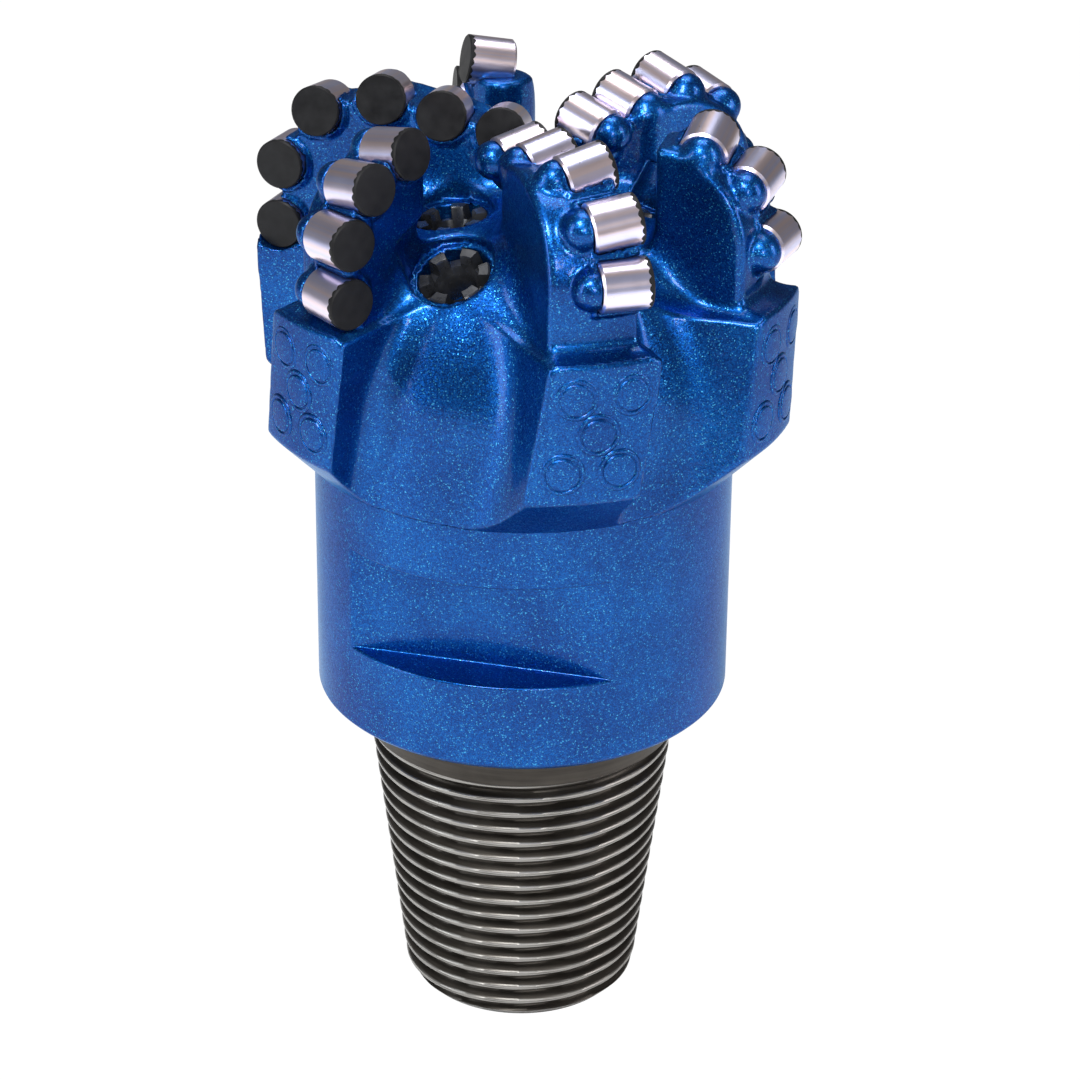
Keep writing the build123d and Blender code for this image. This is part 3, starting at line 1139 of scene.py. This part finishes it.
@dataclass
class CutterSet:
    """The cutters of one blade: diamond tables together, and a carbide post each."""

    blade: BladeRow
    carbide: bpy.types.Material
    diamond: bpy.types.Material
    columns: int = 120
    scallops: int = 19
    swing: float = 0.34
    chamfer: float = 0.35

    def _depth(self, angles: np.ndarray, turn: float) -> np.ndarray:
        """Thickness of the diamond round the rim, where it meets the carbide in scallops."""
        wave = np.abs(np.sin((angles + turn) * self.scallops / 2))
        drift = 0.16 * np.sin(angles * 3 + turn * 5) + 0.1 * np.sin(angles * 7 + turn)
        return CUTTER.table - 0.55 + self.swing * (wave * 2 - 1) + drift

    def _post(self, seat: Seat, number: int) -> bpy.types.Object:
        """One carbide post."""
        angles = np.linspace(0.0, 2 * math.pi, self.columns, endpoint=False)
        depth = self._depth(angles, seat.origin[0] + number)
        rows = [
            (0.5, -depth), (CUTTER.radius, -depth), (CUTTER.radius, -CUTTER.length * 0.5),
            (CUTTER.radius, -CUTTER.length + 0.6), (CUTTER.radius - 0.6, -CUTTER.length),
            (0.5, -CUTTER.length),
        ]
        name = f"{self.blade.name}_post_{number}"
        mesh = grid_mesh(name, turned_rings(rows, angles))
        obj = new_object(name, mesh)
        mesh.transform(seat.matrix())
        mesh.flip_normals()
        # The turn round each post also places the carbide's painted reflection bands.
        mark_points(mesh, "turn", np.tile(np.abs(angles / math.pi - 1.0) + number, len(rows)))
        sharpen(obj, 30)
        mesh.materials.append(self.carbide)
        take_place(obj, "carbide", f"{self.blade.name}_cutter_{number}")
        return obj

    def _tables(self, seats: Sequence[Seat]) -> bpy.types.Object:
        """All the blade's diamond tables."""
        angles = np.linspace(0.0, 2 * math.pi, self.columns, endpoint=False)
        joined = bmesh.new()
        for number, seat in enumerate(seats, start=1):
            depth = self._depth(angles, seat.origin[0] + number)
            rows = [
                (0.4, 0.0), (CUTTER.radius - self.chamfer, 0.0), (CUTTER.radius, -self.chamfer),
                (CUTTER.radius, -depth - 0.01), (CUTTER.radius - 0.8, -depth - 0.01),
            ]
            mesh = grid_mesh("table", turned_rings(rows, angles))
            mesh.transform(seat.matrix())
            joined.from_mesh(mesh)
            bpy.data.meshes.remove(mesh)
        rims = [edge for edge in joined.edges if edge.is_boundary]
        bmesh.ops.holes_fill(joined, edges=rims, sides=self.columns + 2)
        bmesh.ops.recalc_face_normals(joined, faces=joined.faces)
        name = f"{self.blade.name}_tables"
        mesh = bpy.data.meshes.new(name)
        joined.to_mesh(mesh)
        joined.free()
        obj = new_object(name, mesh)
        sharpen(obj, 25)
        mesh.materials.append(self.diamond)
        take_place(obj, "diamond", f"{self.blade.name}_diamond_tables")
        return obj

    def build(self) -> list[bpy.types.Object]:
        """Make the blade's cutters.

        Returns:
            The tables, then the posts.
        """
        seats = [cutter_seat(self.blade.azimuth, place) for place in self.blade.places]
        return [self._tables(seats)] + [self._post(seat, n) for n, seat in enumerate(seats, start=1)]


@dataclass
class GaugeButtons:
    """Painted-over buttons of one pad, each in its shallow ring."""

    blade: BladeRow
    paint: bpy.types.Material
    columns: int = 72

    def build(self) -> bpy.types.Object:
        """Make the buttons.

        Returns:
            The five buttons as one piece.
        """
        profile = (
            (0.0, 0.28), (3.7, 0.28), (4.1, 0.24), (4.35, 0.05), (4.45, -0.3), (4.65, -0.3),
            (4.75, 0.08), (4.95, 0.16), (5.3, 0.10), (5.8, -0.05), (5.85, -0.4),
        )
        angles = np.linspace(0.0, 2 * math.pi, self.columns, endpoint=False)
        joined = bmesh.new()
        for azimuth, height in button_places(self.blade.azimuth):
            rings = []
            for out, lift in profile:
                across = out * np.cos(angles) / CROWN.pad_radius
                turned = math.radians(azimuth) + across
                r = CROWN.pad_radius + lift
                z = height + out * np.sin(angles)
                rings.append(np.stack([r * np.sin(turned), -r * np.cos(turned), z], axis=1))
            mesh = grid_mesh("button", rings)
            joined.from_mesh(mesh)
            bpy.data.meshes.remove(mesh)
        bmesh.ops.remove_doubles(joined, verts=joined.verts, dist=1e-6)
        bmesh.ops.recalc_face_normals(joined, faces=joined.faces)
        name = f"{self.blade.name}_buttons"
        mesh = bpy.data.meshes.new(name)
        joined.to_mesh(mesh)
        joined.free()
        obj = new_object(name, mesh)
        mesh.materials.append(self.paint)
        take_place(obj, "button", f"{self.blade.name}_gauge_buttons")
        return obj


@dataclass
class JetNozzle:
    """One castellated nozzle."""

    number: int
    seat: Seat
    carbide: bpy.types.Material
    columns: int = 180

    def build(self) -> bpy.types.Object:
        """Make the nozzle.

        Returns:
            The nozzle.
        """
        angles = np.linspace(0.0, 2 * math.pi, self.columns, endpoint=False)
        sector = 2 * math.pi / NOZZLE.teeth
        off = np.abs((angles + sector / 2) % sector - sector / 2)
        lip = NOZZLE.radius - NOZZLE.notch_length
        edge = np.clip((off * (NOZZLE.radius - 1.5) - NOZZLE.notch_width / 2) / 0.35, 0.0, 1.0)
        crown = -NOZZLE.notch_depth * (1 - edge)
        rows = [
            (NOZZLE.orifice, -NOZZLE.length), (NOZZLE.orifice, -6.0), (NOZZLE.orifice + 0.5, -5.0),
            (lip - 0.3, -3.2),
            (lip, np.minimum(-0.5, crown)), (lip + 0.4, crown), (NOZZLE.radius - 0.4, crown),
            (NOZZLE.radius, crown - 0.4), (NOZZLE.radius, -NOZZLE.length),
            (NOZZLE.orifice, -NOZZLE.length),
        ]
        name = f"jet_{self.number}"
        mesh = grid_mesh(name, turned_rings(rows, angles))
        obj = new_object(name, mesh)
        mesh.transform(self.seat.matrix())
        weld(mesh)
        sharpen(obj, 35)
        mesh.materials.append(self.carbide)
        take_place(obj, "carbide_nozzle", f"nozzle_{self.number}")
        return obj


# ---------------------------------------------------------------------------------------------
# Studio
# ---------------------------------------------------------------------------------------------


@dataclass(frozen=True)
class SoftBox:
    """A rectangular studio light aimed at a point."""

    name: str
    place: tuple[float, float, float]
    size: tuple[float, float]
    watts: float
    aim: tuple[float, float, float] = (0.0, 0.0, 0.17)
    colour: tuple[float, float, float] = (1.0, 1.0, 1.0)

    def build(self) -> bpy.types.Object:
        """Make the light.

        Returns:
            The light.
        """
        data = bpy.data.lights.new(self.name, "AREA")
        data.shape = "RECTANGLE"
        data.size, data.size_y = self.size
        data.energy = self.watts
        data.color = self.colour
        obj = bpy.data.objects.new(self.name, data)
        obj.location = self.place
        obj.rotation_euler = (Vector(self.aim) - Vector(self.place)).to_track_quat("-Z", "Y").to_euler()
        bpy.context.scene.collection.objects.link(obj)
        return obj


@dataclass(frozen=True)
class Studio:
    """Camera, lights, white surround and floor."""

    elevation: float = 26.186
    roll: float = 0.562
    distance: float = 0.99427
    side: float = 0.00465
    aim_z: float = 0.13649
    lens: float = 119.71

    def camera(self) -> None:
        """Set the scene's camera."""
        data = bpy.data.cameras.new("camera")
        data.lens = self.lens
        data.sensor_width = 36.0
        data.clip_end = 20.0
        obj = bpy.data.objects.new("camera", data)
        bpy.context.scene.collection.objects.link(obj)
        c, s = math.cos(math.radians(self.elevation)), math.sin(math.radians(self.elevation))
        right, up, forward = Vector((1, 0, 0)), Vector((0, s, c)), Vector((0, c, -s))
        cr, sr = math.cos(math.radians(self.roll)), math.sin(math.radians(self.roll))
        matrix = Matrix((right * cr + up * sr, up * cr - right * sr, -forward)).transposed().to_4x4()
        matrix.translation = Vector((self.side, 0.0, self.aim_z)) - forward * self.distance
        obj.matrix_world = matrix
        bpy.context.scene.camera = obj

    def surround(self) -> None:
        """White to the camera, dimmer to the lights and reflections."""
        world = bpy.data.worlds.new("surround")
        bpy.context.scene.world = world
        world.use_nodes = True
        g = Graph(world.node_tree)
        back = world.node_tree.nodes["Background"]
        sees = g.node("ShaderNodeLightPath")
        strength = g.range(sees.outputs["Is Camera Ray"], 0.0, 1.0, 0.16, 1.0)
        back.inputs["Color"].default_value = (1.0, 1.0, 1.0, 1.0)
        g.link(strength, back.inputs["Strength"])

    def floor(self) -> None:
        """White floor under the pin's end."""
        mesh = bpy.data.meshes.new("floor")
        mesh.from_pydata([(-3, -3, 0), (3, -3, 0), (3, 3, 0), (-3, 3, 0)], [], [(0, 1, 2, 3)])
        obj = bpy.data.objects.new("floor", mesh)
        bpy.context.scene.collection.objects.link(obj)
        material = bpy.data.materials.new("floor_white")
        material.use_nodes = True
        g = Graph(material.node_tree)
        shader = material.node_tree.nodes["Principled BSDF"]
        shader.inputs["Roughness"].default_value = 0.8
        shader.inputs["Base Color"].default_value = (0.9, 0.9, 0.9, 1.0)
        glow = g.node("ShaderNodeEmission")
        glow.inputs["Strength"].default_value = 1.03
        sees = g.node("ShaderNodeLightPath")
        blend = g.node("ShaderNodeMixShader")
        g.link(g.math("MULTIPLY", sees.outputs["Is Camera Ray"], 0.985), blend.inputs[0])
        g.link(shader.outputs[0], blend.inputs[1])
        g.link(glow.outputs[0], blend.inputs[2])
        g.link(blend.outputs[0], material.node_tree.nodes["Material Output"].inputs["Surface"])
        mesh.materials.append(material)

    def build(self) -> None:
        """Set up the whole studio."""
        self.camera()
        self.surround()
        self.floor()
        for light in (
            SoftBox("key", (-0.35, -0.75, 1.25), (0.35, 0.35), 19.0),
            SoftBox("camera_side", (0.20, -1.25, 0.62), (0.25, 0.25), 6.0),
            SoftBox("left", (-1.2, -0.5, 0.5), (0.35, 1.1), 8.0, colour=(0.90, 0.95, 1.0)),
            SoftBox("right", (1.2, -0.4, 0.6), (0.35, 1.1), 8.0, colour=(1.0, 0.96, 0.97)),
            SoftBox("top", (0.0, 0.35, 1.4), (0.8, 0.8), 12.0),
        ):
            light.build()
        bpy.context.scene.view_settings.view_transform = "Standard"


def main() -> None:
    """Build every piece and the studio."""
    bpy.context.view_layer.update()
    palette = Palette.make()
    CrownBody(palette.crown_paint).build()
    ShankBody(palette.paint, palette.pin).build()
    for blade in BLADES:
        CutterSet(blade, palette.carbide, palette.diamond).build()
        GaugeButtons(blade, palette.paint).build()
    for number, row in enumerate(NOZZLES, start=1):
        JetNozzle(number, nozzle_seat(*row), palette.nozzle).build()
    Studio().build()


if __name__ == "__main__":
    main()
